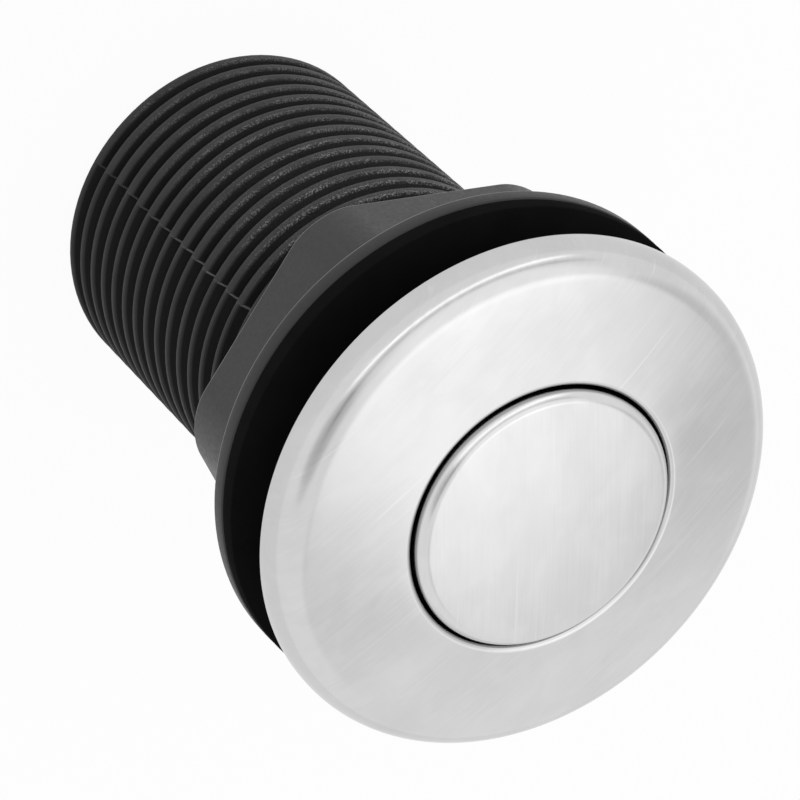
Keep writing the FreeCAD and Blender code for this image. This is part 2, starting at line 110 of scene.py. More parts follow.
def spun(name, points, steps, closed=True):
    """A piece turned about Z from its outline."""
    piece = start_outline(name)
    draw_outline(points + points[:1] if closed else points)
    bpy.ops.mesh.select_all(action="SELECT")
    bpy.ops.mesh.remove_doubles(threshold=1e-7)
    bpy.ops.mesh.spin(steps=steps, angle=2 * math.pi, center=(0, 0, 0), axis=(0, 0, 1))
    bpy.ops.mesh.select_all(action="SELECT")
    bpy.ops.mesh.remove_doubles(threshold=1e-7)
    bpy.ops.mesh.normals_make_consistent(inside=False)
    bpy.ops.object.mode_set(mode="OBJECT")
    return piece


def smooth(piece, degrees=32):
    """Smooth shading, with edges sharper than the angle left crisp."""
    bpy.ops.object.select_all(action="DESELECT")
    piece.select_set(True)
    bpy.context.view_layer.objects.active = piece
    bpy.ops.object.shade_smooth_by_angle(angle=math.radians(degrees))


lip_centre = BEZEL_CROWN - LIP_ROUND
dome_centre = lip_centre - math.sqrt((DOME - LIP_ROUND) ** 2 - (HOLE + LIP_ROUND) ** 2)
edge_turn = math.degrees(math.acos((BEZEL_RADIUS - EDGE_ROUND) / (DOME - EDGE_ROUND)))
edge_centre = dome_centre + (DOME - EDGE_ROUND) * math.sin(math.radians(edge_turn))
lip_turn = math.degrees(math.acos((HOLE + LIP_ROUND) / (DOME - LIP_ROUND)))
bezel_outline = [(BEZEL_RADIUS - SHEET, BEZEL_FOOT), (BEZEL_RADIUS - 0.12, BEZEL_FOOT)]
bezel_outline += [(BEZEL_RADIUS, BEZEL_FOOT + 0.12)]
bezel_outline += arc(BEZEL_RADIUS - EDGE_ROUND, edge_centre, EDGE_ROUND, 0, edge_turn, 20)
bezel_outline += arc(0, dome_centre, DOME, edge_turn, lip_turn, 8)[1:]
bezel_outline += arc(HOLE + LIP_ROUND, lip_centre, LIP_ROUND, lip_turn, 180, 12)[1:]
bezel_outline += [(HOLE, lip_centre - LIP_DEPTH), (HOLE + SHEET, lip_centre - LIP_DEPTH)]
bezel_outline += arc(HOLE + LIP_ROUND, lip_centre, LIP_ROUND - SHEET, 180, lip_turn, 4)
bezel_outline += arc(0, dome_centre, DOME - SHEET, lip_turn, edge_turn, 4)[1:]
bezel_outline += arc(
    BEZEL_RADIUS - EDGE_ROUND, edge_centre, EDGE_ROUND - SHEET, edge_turn, 0, 8
)[1:]
bezel = spun("bezel", bezel_outline, 256)
smooth(bezel)


def new_material(name):
    """A material with its node tree, its shader and its output."""
    material = bpy.data.materials.new(name)
    material.use_nodes = True
    nodes = material.node_tree.nodes
    return material, nodes, material.node_tree.links, nodes["Principled BSDF"]


def calculate(nodes, links, operation, *values):
    """A Math node on numbers and sockets."""
    step = nodes.new("ShaderNodeMath")
    step.operation = operation
    for socket, value in zip(step.inputs, values):
        if isinstance(value, (int, float)):
            socket.default_value = value
        else:
            links.new(value, socket)
    return step.outputs[0]


def fade(nodes, links, value, start, end, low=0.0, high=1.0):
    """A smooth rise or fall of a value between two of its levels."""
    step = nodes.new("ShaderNodeMapRange")
    step.interpolation_type = "SMOOTHSTEP"
    step.inputs["From Min"].default_value = start
    step.inputs["From Max"].default_value = end
    step.inputs["To Min"].default_value = low
    step.inputs["To Max"].default_value = high
    links.new(value, step.inputs["Value"])
    return step.outputs["Result"]


def mixed(nodes, links, share, first, second):
    """A colour between two, each a plain colour or a socket."""
    step = nodes.new("ShaderNodeMix")
    step.data_type = "RGBA"
    links.new(share, step.inputs[0])
    for socket, colour in ((step.inputs[6], first), (step.inputs[7], second)):
        if isinstance(colour, tuple):
            socket.default_value = colour + (1,)
        else:
            links.new(colour, socket)
    return step.outputs[2]


def brushing_group():
    """Brush lines, hairline scratches and cloudy patches of a brushed steel face."""
    group = bpy.data.node_groups.new("brushing", "ShaderNodeTree")
    face = group.interface
    turn = face.new_socket(name="Turn", in_out="INPUT", socket_type="NodeSocketFloat")
    turn.default_value = 0.0
    for output in ("Lines", "Clouds", "Smudges", "Scratches"):
        face.new_socket(name=output, in_out="OUTPUT", socket_type="NodeSocketFloat")
    nodes, links = group.nodes, group.links
    inward = nodes.new("NodeGroupInput")
    outward = nodes.new("NodeGroupOutput")
    place = nodes.new("ShaderNodeTexCoord")
    turned = nodes.new("ShaderNodeVectorRotate")
    turned.rotation_type = "Z_AXIS"
    links.new(place.outputs["Object"], turned.inputs["Vector"])
    links.new(inward.outputs["Turn"], turned.inputs["Angle"])

    def stretched(scale, detail, roughness, name):
        """Noise drawn out by its own scale in each direction of the brushing."""
        along = nodes.new("ShaderNodeMapping")
        along.inputs["Scale"].default_value = scale
        links.new(turned.outputs["Vector"], along.inputs["Vector"])
        noise = nodes.new("ShaderNodeTexNoise")
        noise.name = name
        noise.inputs["Scale"].default_value = 1.0
        noise.inputs["Detail"].default_value = detail
        noise.inputs["Roughness"].default_value = roughness
        links.new(along.outputs["Vector"], noise.inputs["Vector"])
        return noise

    lines = stretched((120.0, 7000.0, 700.0), 3.0, 0.6, "lines")
    links.new(lines.outputs["Fac"], outward.inputs["Lines"])
    clouds = stretched((130.0, 220.0, 160.0), 4.0, 0.55, "clouds")
    links.new(clouds.outputs["Fac"], outward.inputs["Clouds"])
    smudges = stretched((190.0, 260.0, 220.0), 2.0, 0.5, "smudges")
    smudges.inputs["Distortion"].default_value = 0.8
    links.new(smudges.outputs["Fac"], outward.inputs["Smudges"])
    scratches = stretched((45.0, 3200.0, 500.0), 1.0, 0.4, "scratches")
    thin = nodes.new("ShaderNodeMapRange")
    thin.inputs["From Min"].default_value = 0.68
    thin.inputs["From Max"].default_value = 0.80
    links.new(scratches.outputs["Fac"], thin.inputs["Value"])
    links.new(thin.outputs["Result"], outward.inputs["Scratches"])
    return group


brushing = brushing_group()


def brushed_steel(name, turn, grey, roughness, line_depth):
    """Brushed stainless: fine lines break the gloss, and smudges and patches shade it."""
    material, nodes, links, shader = new_material(name)
    shader.inputs["Metallic"].default_value = 1.0
    brush = nodes.new("ShaderNodeGroup")
    brush.node_tree = brushing
    brush.inputs["Turn"].default_value = math.radians(turn)
    lines, clouds = brush.outputs["Lines"], brush.outputs["Clouds"]
    smudges, scratches = brush.outputs["Smudges"], brush.outputs["Scratches"]
    stains = fade(nodes, links, smudges, 0.50, 0.58)
    shade = calculate(nodes, links, "MULTIPLY_ADD", lines, 0.26, 0.0)
    shade = calculate(nodes, links, "MULTIPLY_ADD", clouds, 0.54, shade)
    shade = calculate(nodes, links, "MULTIPLY_ADD", smudges, 0.16, shade)
    shade = calculate(nodes, links, "MULTIPLY_ADD", stains, 0.04, shade)
    shade = fade(nodes, links, shade, 0.22, 0.78)
    metal = mixed(nodes, links, shade, (grey * 0.93,) * 3, (grey * 1.05,) * 3)
    metal = mixed(nodes, links, scratches, metal, (grey * 1.05,) * 3)
    links.new(metal, shader.inputs["Base Color"])
    dull = calculate(nodes, links, "ADD", lines, smudges)
    dull = fade(nodes, links, dull, 0.7, 1.3, roughness - 0.02, roughness + 0.04)
    links.new(dull, shader.inputs["Roughness"])
    relief = calculate(nodes, links, "MULTIPLY_ADD", scratches, 0.25, lines)
    bump = nodes.new("ShaderNodeBump")
    bump.inputs["Strength"].default_value = line_depth
    bump.inputs["Distance"].default_value = 0.00002
    links.new(relief, bump.inputs["Height"])
    links.new(bump.outputs["Normal"], shader.inputs["Normal"])
    return material


BEZEL_BRUSHING = -43.0
bezel_steel = brushed_steel("bezel steel", BEZEL_BRUSHING, 0.67, 0.14, 0.12)
bezel.data.materials.append(bezel_steel)
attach(bezel, "barrel")
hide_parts("bezel_cover")

# Button cap: the part that a finger presses. A shallow stamped cup of the same brushed sheet,
# with a rounded edge and a slightly crowned face, pressed over the plunger's head.

CAP_RADIUS = 12.17
CAP_CROWN = 6.816
CAP_DOME = 150.0
CAP_SHEET = 0.7
CAP_FOOT = 2.8
CAP_BENDS = ((0.9, 44.0), (3.0, 34.0), (0.7, 0.0))

# The edge turns down in three bends of different radius, each tangent to the next.

(first, first_end), (second, second_end), (third, third_end) = CAP_BENDS
third_across = CAP_RADIUS - third
second_across = third_across - (second - third) * math.cos(math.radians(second_end))
first_across = second_across + (second - first) * math.cos(math.radians(first_end))
cap_turn = math.degrees(math.acos(first_across / (CAP_DOME - first)))
cap_centre = CAP_CROWN - CAP_DOME
first_up = cap_centre + (CAP_DOME - first) * math.sin(math.radians(cap_turn))
second_up = first_up - (second - first) * math.sin(math.radians(first_end))
third_up = second_up + (second - third) * math.sin(math.radians(second_end))
cap_outline = arc(0, cap_centre, CAP_DOME, 90, cap_turn, 10)
cap_outline += arc(first_across, first_up, first, cap_turn, first_end, 8)[1:]
cap_outline += arc(second_across, second_up, second, first_end, second_end, 5)[1:]
cap_outline += arc(third_across, third_up, third, second_end, third_end, 6)[1:]
cap_outline += [(CAP_RADIUS, CAP_FOOT), (CAP_RADIUS - CAP_SHEET, CAP_FOOT)]
cap_outline += [(CAP_RADIUS - CAP_SHEET, third_up)]
cap_outline += arc(second_across, second_up, second - CAP_SHEET, second_end, first_end, 3)
cap_outline += arc(first_across, first_up, first - CAP_SHEET, first_end, cap_turn, 3)[1:]
cap_outline += arc(0, cap_centre, CAP_DOME - CAP_SHEET, cap_turn, 90, 4)[1:]
cap = spun("cap", cap_outline, 192, closed=False)
smooth(cap)
CAP_BRUSHING = -96.0
cap_steel = brushed_steel("button steel", CAP_BRUSHING, 0.70, 0.16, 0.16)

# The drawn wall under the cap's edge is painted a darker grey towards its foot: painted shade of
# the gap round it.

WALL_TOP = 5.82
WALL_FULL_SHADE = 5.64

nodes, links = cap_steel.node_tree.nodes, cap_steel.node_tree.links
place = nodes.new("ShaderNodeTexCoord")
parts = nodes.new("ShaderNodeSeparateXYZ")
links.new(place.outputs["Object"], parts.inputs["Vector"])
gap_shade = fade(nodes, links, parts.outputs["Z"], WALL_TOP * MM, WALL_FULL_SHADE * MM)
face_colour = nodes["Principled BSDF"].inputs["Base Color"]
gap_shaded = mixed(nodes, links, gap_shade, face_colour.links[0].from_socket, (0.38, 0.38, 0.38))
links.new(gap_shaded, face_colour)
cap.data.materials.append(cap_steel)
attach(cap, "button")
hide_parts("button_cap")

# Threaded barrel: the black plastic moulding that holds everything. It has the flange under
# the bezel, the well for the button and a coarse right-hand pipe thread down its shank.

THREAD_RADIUS = 16.6
THREAD_ROOT = 15.15
PITCH = 2.309
CREST = 0.95
CREST_EASE = 0.12
CREST_SHOULDER = 0.04
FLANK_TOP = 0.16
ROOT = 0.25
CREST_PHASE = -38.44
CREST_AZIMUTH = -45.6
SHANK_END = -55.8
THREAD_TOP = -1.9
FLANGE = 23.5
WELL = 12.65
LEDGE_TOP = -1.69
GUIDE = 10.86
LEDGE_BOTTOM = -10.89
CHAMBER = 12.8
PLUG_TOP = -40.0
PLUG_BORE = 13.3
RING_TOP = -45.05
RING_SLOT = -46.2
RING_GROOVE = 14.0

turns_down = math.ceil((CREST_PHASE - SHANK_END) / PITCH) + 1
start_height = CREST_PHASE - PITCH * turns_down - PITCH * CREST_AZIMUTH / 360 - PITCH / 2
flank = (PITCH - CREST - ROOT) / 2
turn_outline = [(THREAD_ROOT, 0), (THREAD_ROOT, ROOT / 2)]
turn_outline += [(THREAD_RADIUS - FLANK_TOP, ROOT / 2 + flank * 0.9)]
turn_outline += [(THREAD_RADIUS - CREST_SHOULDER, ROOT / 2 + flank)]
turn_outline += [(THREAD_RADIUS, ROOT / 2 + flank + CREST_EASE)]
turn_outline += [(THREAD_RADIUS, PITCH - ROOT / 2 - flank - CREST_EASE)]
turn_outline += [(THREAD_RADIUS - CREST_SHOULDER, PITCH - ROOT / 2 - flank)]
turn_outline += [(THREAD_RADIUS - FLANK_TOP, PITCH - ROOT / 2 - flank * 0.9)]
turn_outline += [(THREAD_ROOT, PITCH - ROOT / 2), (THREAD_ROOT, PITCH)]

thread = start_outline("barrel thread")
draw_outline([(across, up + start_height) for across, up in turn_outline])
bpy.ops.object.mode_set(mode="OBJECT")
screw = thread.modifiers.new("Thread", "SCREW")
screw.axis = "Z"
screw.angle = 2 * math.pi
screw.screw_offset = PITCH * MM
screw.iterations = math.ceil((THREAD_TOP - start_height) / PITCH) + 1
screw.steps = 96
screw.render_steps = 96
screw.use_merge_vertices = True
screw.merge_threshold = 1e-6
bpy.ops.object.modifier_apply(modifier="Thread")


def cut_level(piece, height, keep_above):
    """Cut the mesh at a level and leave only what is above it, or below it."""
    bpy.ops.object.select_all(action="DESELECT")
    piece.select_set(True)
    bpy.context.view_layer.objects.active = piece
    bpy.ops.object.mode_set(mode="EDIT")
    bpy.ops.mesh.select_all(action="SELECT")
    bpy.ops.mesh.bisect(
        plane_co=(0, 0, height * MM),
        plane_no=(0, 0, 1),
        clear_inner=keep_above,
        clear_outer=not keep_above,
        threshold=1e-7,
    )
    bpy.ops.object.mode_set(mode="OBJECT")


# The mould parts in a plane through the axis. Beyond it the crest's front edge sits further
# back, so the crest is narrower there, and a thin line of flash marks the joint.

PARTING = -29.0
PARTING_HALF = 0.07
CREST_STEP = 0.46

across_joint = Vector(
    (math.cos(math.radians(PARTING + 90)), math.sin(math.radians(PARTING + 90)), 0)
)
bpy.ops.object.mode_set(mode="EDIT")
for side in (-PARTING_HALF, PARTING_HALF):
    bpy.ops.mesh.select_all(action="SELECT")
    bpy.ops.mesh.bisect(
        plane_co=across_joint * side * MM, plane_no=across_joint, threshold=1e-7
    )
bpy.ops.mesh.select_all(action="DESELECT")
bpy.ops.object.mode_set(mode="OBJECT")


def thread_phase(spot):
    """How far a point lies in front of the nearest crest's middle, in mm."""
    azimuth = math.degrees(math.atan2(spot.y, spot.x))
    rise = spot.z / MM - CREST_PHASE - PITCH * (azimuth - CREST_AZIMUTH) / 360
    return (rise / PITCH + 0.5) % 1.0 * PITCH - PITCH / 2


for point in thread.data.vertices:
    spot = point.co
    out = math.hypot(spot.x, spot.y) / MM
    beyond = spot.dot(across_joint) > PARTING_HALF * MM * 0.9
    if beyond and out > THREAD_RADIUS - 0.3 and thread_phase(spot) > 0.15:
        spot.z -= CREST_STEP * MM
cut_level(thread, SHANK_END, True)
cut_level(thread, THREAD_TOP, False)

body_outline = [(THREAD_RADIUS, THREAD_TOP), (THREAD_RADIUS, 2.0), (22.5, 2.0), (22.5, 0.45)]
body_outline += [(FLANGE, 0.45), (FLANGE, 0.87), (FLANGE - 0.6, 2.0), (FLANGE - 1.8, 3.2)]
body_outline += [(WELL + 0.2, 3.2), (WELL, 3.0), (WELL, LEDGE_TOP), (GUIDE, LEDGE_TOP)]
body_outline += [(GUIDE, LEDGE_BOTTOM), (CHAMBER, LEDGE_BOTTOM), (CHAMBER, PLUG_TOP)]
body_outline += [(PLUG_BORE, PLUG_TOP), (PLUG_BORE, RING_TOP), (RING_GROOVE, RING_TOP)]
body_outline += [(RING_GROOVE, RING_SLOT), (PLUG_BORE, RING_SLOT)]
body_outline += [(PLUG_BORE, SHANK_END + 0.5), (PLUG_BORE + 0.5, SHANK_END)]
barrel = spun("barrel", body_outline, 192, closed=False)
bpy.ops.object.select_all(action="DESELECT")
thread.select_set(True)
barrel.select_set(True)
bpy.context.view_layer.objects.active = barrel
bpy.ops.object.join()
bpy.ops.object.mode_set(mode="EDIT")


def select_rim(piece, height):
    """Select the open edges that lie at a level."""
    bpy.ops.mesh.select_all(action="DESELECT")
    bpy.ops.mesh.select_mode(type="EDGE")
    bpy.ops.mesh.select_non_manifold()
    bpy.ops.object.mode_set(mode="OBJECT")
    spots = piece.data.vertices
    for edge in piece.data.edges:
        level = all(abs(spots[v].co.z - height * MM) < 2e-6 for v in edge.vertices)
        edge.select = edge.select and level
    bpy.ops.object.mode_set(mode="EDIT")


for rim in (SHANK_END, THREAD_TOP):
    select_rim(barrel, rim)
    bpy.ops.mesh.fill(use_beauty=True)
bpy.ops.mesh.select_mode(type="VERT")
bpy.ops.mesh.select_all(action="SELECT")
bpy.ops.mesh.remove_doubles(threshold=1e-7)
bpy.ops.mesh.normals_make_consistent(inside=False)
bpy.ops.object.mode_set(mode="OBJECT")
smooth(barrel, 24)


def grain_group():
    """Fine moulded grain and broad patches; the barrel paints its glints from the grain's relief.
    """
    group = bpy.data.node_groups.new("grain", "ShaderNodeTree")
    face = group.interface
    size = face.new_socket(name="Size", in_out="INPUT", socket_type="NodeSocketFloat")
    size.default_value = 4000.0
    face.new_socket(name="Relief", in_out="OUTPUT", socket_type="NodeSocketFloat")
    face.new_socket(name="Patches", in_out="OUTPUT", socket_type="NodeSocketFloat")
    nodes, links = group.nodes, group.links
    inward = nodes.new("NodeGroupInput")
    outward = nodes.new("NodeGroupOutput")
    place = nodes.new("ShaderNodeTexCoord")
    fine = nodes.new("ShaderNodeTexNoise")
    fine.inputs["Detail"].default_value = 4.0
    fine.inputs["Roughness"].default_value = 0.65
    links.new(place.outputs["Object"], fine.inputs["Vector"])
    links.new(inward.outputs["Size"], fine.inputs["Scale"])
    links.new(fine.outputs["Fac"], outward.inputs["Relief"])
    broad = nodes.new("ShaderNodeTexNoise")
    broad.inputs["Scale"].default_value = 300.0
    broad.inputs["Detail"].default_value = 3.0
    links.new(place.outputs["Object"], broad.inputs["Vector"])
    links.new(broad.outputs["Fac"], outward.inputs["Patches"])
    return group


grain = grain_group()


def moulded_plastic(name, dark, light, roughness, grain_size, grain_depth):
    """Moulded plastic with its grain: patches shade it, and the relief breaks the sheen."""
    material, nodes, links, shader = new_material(name)
    pattern = nodes.new("ShaderNodeGroup")
    pattern.node_tree = grain
    pattern.inputs["Size"].default_value = grain_size
    tint = nodes.new("ShaderNodeMix")
    tint.data_type = "RGBA"
    tint.inputs[6].default_value = dark + (1,)
    tint.inputs[7].default_value = light + (1,)
    links.new(pattern.outputs["Patches"], tint.inputs[0])
    links.new(tint.outputs[2], shader.inputs["Base Color"])
    rough = nodes.new("ShaderNodeMapRange")
    rough.inputs["From Min"].default_value = 0.3
    rough.inputs["From Max"].default_value = 0.7
    rough.inputs["To Min"].default_value = roughness - 0.07
    rough.inputs["To Max"].default_value = roughness + 0.07
    links.new(pattern.outputs["Relief"], rough.inputs["Value"])
    links.new(rough.outputs["Result"], shader.inputs["Roughness"])
    bump = nodes.new("ShaderNodeBump")
    bump.inputs["Strength"].default_value = grain_depth
    bump.inputs["Distance"].default_value = 0.00004
    links.new(pattern.outputs["Relief"], bump.inputs["Height"])
    links.new(bump.outputs["Normal"], shader.inputs["Normal"])
    return material


def barrel_plastic(name):
    """The barrel's black: matt flanks, crests painted greyer as a painted highlight, painted glints
    on the grain and pale flash.
    """
    material, nodes, links, shader = new_material(name)
    shader.inputs["Specular IOR Level"].default_value = 0.14

    def sum_of(*values):
        """A Math node in this material: the operation first, then its values."""
        return calculate(nodes, links, *values)

    pattern = nodes.new("ShaderNodeGroup")
    pattern.node_tree = grain
    pattern.inputs["Size"].default_value = 6500.0
    relief, patches = pattern.outputs["Relief"], pattern.outputs["Patches"]
    place = nodes.new("ShaderNodeTexCoord")
    parts = nodes.new("ShaderNodeSeparateXYZ")
    links.new(place.outputs["Object"], parts.inputs["Vector"])
    flat = nodes.new("ShaderNodeVectorMath")
    flat.operation = "MULTIPLY"
    flat.inputs[1].default_value = (1, 1, 0)
    links.new(place.outputs["Object"], flat.inputs[0])
    out = nodes.new("ShaderNodeVectorMath")
    out.operation = "LENGTH"
    links.new(flat.outputs["Vector"], out.inputs[0])
    crest = fade(nodes, links, out.outputs["Value"], 0.01628, 0.01652)
    azimuth = sum_of("ARCTAN2", parts.outputs["Y"], parts.outputs["X"])
    start = CREST_AZIMUTH / 360 - CREST_PHASE / PITCH + 0.5
    turns = sum_of("MULTIPLY_ADD", parts.outputs["Z"], 1 / (PITCH * MM), start)
    turns = sum_of("MULTIPLY_ADD", azimuth, -0.5 / math.pi, turns)
    phase = sum_of("FRACT", turns, 0.0)
    front = fade(nodes, links, phase, 0.52, 0.64)
    joint = nodes.new("ShaderNodeVectorMath")
    joint.operation = "DOT_PRODUCT"
    joint.inputs[1].default_value = across_joint
    links.new(place.outputs["Object"], joint.inputs[0])
    side = fade(nodes, links, joint.outputs["Value"], 0.0, -0.0004)
    wander = sum_of("MULTIPLY_ADD", patches, 0.0005, -0.00025)
    wander = sum_of("ADD", joint.outputs["Value"], wander)
    flash = fade(nodes, links, sum_of("ABSOLUTE", wander, 0.0), 0.00016, 0.00004)
    flash = sum_of("MULTIPLY", flash, fade(nodes, links, crest, 1.0, 0.3, 0.15, 1.0))
    rearward = fade(nodes, links, parts.outputs["Z"], -0.053, -0.030, 0.3, 1.0)
    flash = sum_of("MULTIPLY", flash, rearward)
    rough_side = sum_of("MULTIPLY", side, crest)
    coarser = fade(nodes, links, joint.outputs["Value"], -0.001, -0.010)
    forward = fade(nodes, links, parts.outputs["Z"], -0.050, -0.026, 0.40, 1.0)
    coarser = sum_of("MULTIPLY", coarser, forward)
    # Painted glints: bright grey points on the grain at the crests' front edges, on one side of the
    # joint, standing in for light caught by the grain.
    painted_glint = sum_of("MULTIPLY", fade(nodes, links, relief, 0.50, 0.60), rough_side)
    painted_glint = sum_of("MULTIPLY", painted_glint, fade(nodes, links, front, 0.0, 1.0, 0.2, 1.0))
    painted_glint = sum_of("MULTIPLY", painted_glint, fade(nodes, links, patches, 0.35, 0.52, 0.3, 1.0))
    painted_glint = sum_of("MULTIPLY", painted_glint, coarser)
    grainy = mixed(nodes, links, coarser, (0.012, 0.012, 0.012), (0.040, 0.040, 0.040))
    flank = mixed(nodes, links, relief, (0.0035, 0.0035, 0.0036), grainy)
    # The crests are painted a much lighter grey than the flanks: a painted highlight of the light
    # along the thread.
    crest_highlight = mixed(nodes, links, patches, (0.026, 0.026, 0.027), (0.048, 0.048, 0.049))
    colour = mixed(nodes, links, crest, flank, crest_highlight)
    colour = mixed(nodes, links, painted_glint, colour, (0.28, 0.28, 0.28))
    colour = mixed(nodes, links, flash, colour, (0.17, 0.17, 0.17))
    links.new(colour, shader.inputs["Base Color"])
    dull = fade(nodes, links, crest, 0.0, 1.0, 0.7, 0.48)
    links.new(dull, shader.inputs["Roughness"])
    height = sum_of("MULTIPLY", relief, fade(nodes, links, coarser, 0.0, 1.0, 0.25, 1.0))
    height = sum_of("ADD", height, flash)
    bump = nodes.new("ShaderNodeBump")
    bump.inputs["Strength"].default_value = 0.8
    bump.inputs["Distance"].default_value = 0.00005
    links.new(height, bump.inputs["Height"])
    links.new(bump.outputs["Normal"], shader.inputs["Normal"])
    return material


black_plastic = barrel_plastic("barrel plastic")
barrel.data.materials.append(black_plastic)
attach(barrel, "barrel")
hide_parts("threaded_barrel")

# Deck gasket: a flat closed-cell rubber ring in the flange's recess. It seals the bezel on the
# deck, and only its lower edge shows under the bezel.

GASKET_INSIDE = 16.9
GASKET_OUTSIDE = 22.35
GASKET_TOP = 2.0
GASKET_EDGE = 0.15


def flat_ring(name, inside, outside, bottom, top, edge, steps):
    """A flat ring turned about Z, with its four edges eased."""
    outline = arc(outside - edge, bottom + edge, edge, -90, 0, 3)
    outline += arc(outside - edge, top - edge, edge, 0, 90, 3)
    outline += arc(inside + edge, top - edge, edge, 90, 180, 3)
    outline += arc(inside + edge, bottom + edge, edge, 180, 270, 3)
    ring = spun(name, outline, steps)
    smooth(ring, 40)
    return ring


def soft_rubber(name, dark, light, roughness, grain_size, grain_depth):
    """Dull black rubber: almost no sheen, with a fine skin and greyer patches of bloom."""
    rubber = moulded_plastic(name, dark, light, roughness, grain_size, grain_depth)
    rubber.node_tree.nodes["Principled BSDF"].inputs["Specular IOR Level"].default_value = 0.03
    return rubber


gasket = flat_ring(
    "gasket", GASKET_INSIDE, GASKET_OUTSIDE, 0.0, GASKET_TOP, GASKET_EDGE, 160
)
gasket_rubber = soft_rubber(
    "gasket rubber", (0.004, 0.004, 0.004), (0.009, 0.009, 0.009), 0.85, 3800.0, 0.6
)
gasket.data.materials.append(gasket_rubber)
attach(gasket, "barrel")
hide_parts("deck_gasket")

# Clamp washer: a flat rubber ring on the nut's face. It slides along the thread with the nut
# and takes the rub when the nut is turned against the deck.

WASHER_INSIDE = 16.85
WASHER_OUTSIDE = 23.75
WASHER_BOTTOM = -7.19
WASHER_TOP = -5.69
WASHER_EDGE = 0.12

washer = flat_ring(
    "washer", WASHER_INSIDE, WASHER_OUTSIDE, WASHER_BOTTOM, WASHER_TOP, WASHER_EDGE, 192
)
washer_rubber = soft_rubber(
    "washer rubber", (0.005, 0.005, 0.005), (0.009, 0.009, 0.009), 0.95, 2500.0, 0.25
)
washer.data.materials.append(washer_rubber)
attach(washer, "washer")
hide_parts("clamp_washer")

# Locknut: a dark grey moulding with a thin round flange and a hexagon for the spanner, which
# tapers a little so that it leaves its mould. It clamps the deck from below.

NUT_FRONT = -7.24
NUT_FLANGE = 23.8
NUT_RIM = 1.6
NUT_REAR = -19.24
NUT_FLATS = 37.8
NUT_CORNER = 6.3
NUT_DRAFT = 1.0
NUT_BORE = 16.68
NUT_MOUTH = 0.8
NUT_EASE = 0.22

prism_height = NUT_FRONT - NUT_RIM - NUT_REAR
reach = NUT_FLATS / 2 / math.cos(math.radians(30))
root_reach = reach + (prism_height + 0.4) * math.tan(math.radians(NUT_DRAFT)) / math.cos(
    math.radians(30)
)
bpy.ops.object.select_all(action="DESELECT")
bpy.ops.mesh.primitive_cone_add(
    vertices=6,
    radius1=reach * MM,
    radius2=root_reach * MM,
    depth=(prism_height + 0.4) * MM,
    location=(0, 0, (NUT_REAR + (prism_height + 0.4) / 2) * MM),
    rotation=(0, 0, math.radians(30)),
)
nut = bpy.context.object
nut.name = "nut"
nut.data.name = "nut"
bpy.ops.object.transform_apply(location=True, rotation=True, scale=True)
bpy.ops.object.mode_set(mode="EDIT")
bpy.ops.mesh.select_mode(type="EDGE")
bpy.ops.mesh.select_all(action="DESELECT")
bpy.ops.object.mode_set(mode="OBJECT")
spots = nut.data.vertices
for edge in nut.data.edges:
    low, high = (spots[v].co.z for v in edge.vertices)
    edge.select = abs(low - high) > prism_height * MM / 2
bpy.ops.object.mode_set(mode="EDIT")
corner_reach = NUT_CORNER * math.tan(math.radians(30))
bpy.ops.mesh.bevel(offset=corner_reach * MM, segments=14, offset_type="OFFSET")
bpy.ops.object.mode_set(mode="OBJECT")


def combine(piece, other, operation):
    """Join another solid to the piece, or cut it away, and delete the other solid."""
    change = piece.modifiers.new(operation, "BOOLEAN")
    change.operation = operation
    change.solver = "EXACT"
    change.object = other
    bpy.ops.object.select_all(action="DESELECT")
    piece.select_set(True)
    bpy.context.view_layer.objects.active = piece
    bpy.ops.object.modifier_apply(modifier=operation)
    bpy.data.objects.remove(other)


def ease_edges(piece, width, degrees, segments, finish=0):
    """Round every edge that is sharper than the angle, and give the rounds a finish."""
    ease = piece.modifiers.new("Ease", "BEVEL")
    ease.limit_method = "ANGLE"
    ease.angle_limit = math.radians(degrees)
    ease.width = width * MM
    ease.segments = segments
    ease.use_clamp_overlap = True
    ease.material = finish
    bpy.ops.object.select_all(action="DESELECT")
    piece.select_set(True)
    bpy.context.view_layer.objects.active = piece
    bpy.ops.object.modifier_apply(modifier="Ease")


flange_outline = [(0, NUT_FRONT - NUT_RIM), (NUT_FLANGE, NUT_FRONT - NUT_RIM)]
flange_outline += [(NUT_FLANGE, NUT_FRONT), (0, NUT_FRONT)]
combine(nut, spun("nut flange", flange_outline, 192, closed=False), "UNION")
bore_outline = [(0, NUT_REAR - 1), (NUT_BORE + NUT_MOUTH + 1, NUT_REAR - 1)]
bore_outline += [(NUT_BORE, NUT_REAR + NUT_MOUTH), (NUT_BORE, NUT_FRONT - NUT_MOUTH)]
bore_outline += [(NUT_BORE + NUT_MOUTH + 1, NUT_FRONT + 1), (0, NUT_FRONT + 1)]
combine(nut, spun("nut bore", bore_outline, 160, closed=False), "DIFFERENCE")
nut_grey = moulded_plastic(
    "nut grey plastic", (0.026, 0.026, 0.027), (0.031, 0.031, 0.032), 0.40, 2600.0, 0.02
)
# The rounds of the eased edges get a much lighter grey than the body: a painted highlight line
# along them. The rounds at the front rim keep the body grey.
nut_edge_highlight = moulded_plastic(
    "nut edge painted highlight", (0.13, 0.13, 0.13), (0.22, 0.22, 0.22), 0.35, 2600.0, 0.05
)
nut.data.materials.clear()
for finish in (nut_grey, nut_edge_highlight):
    finish.node_tree.nodes["Principled BSDF"].inputs["Specular IOR Level"].default_value = 0.3
    nut.data.materials.append(finish)
ease_edges(nut, NUT_EASE, 35, 3, finish=1)
for face in nut.data.polygons:
    if face.center.z > (NUT_FRONT - NUT_EASE * 2) * MM:
        face.material_index = 0
smooth(nut, 30)
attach(nut, "nut")
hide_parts("locknut")

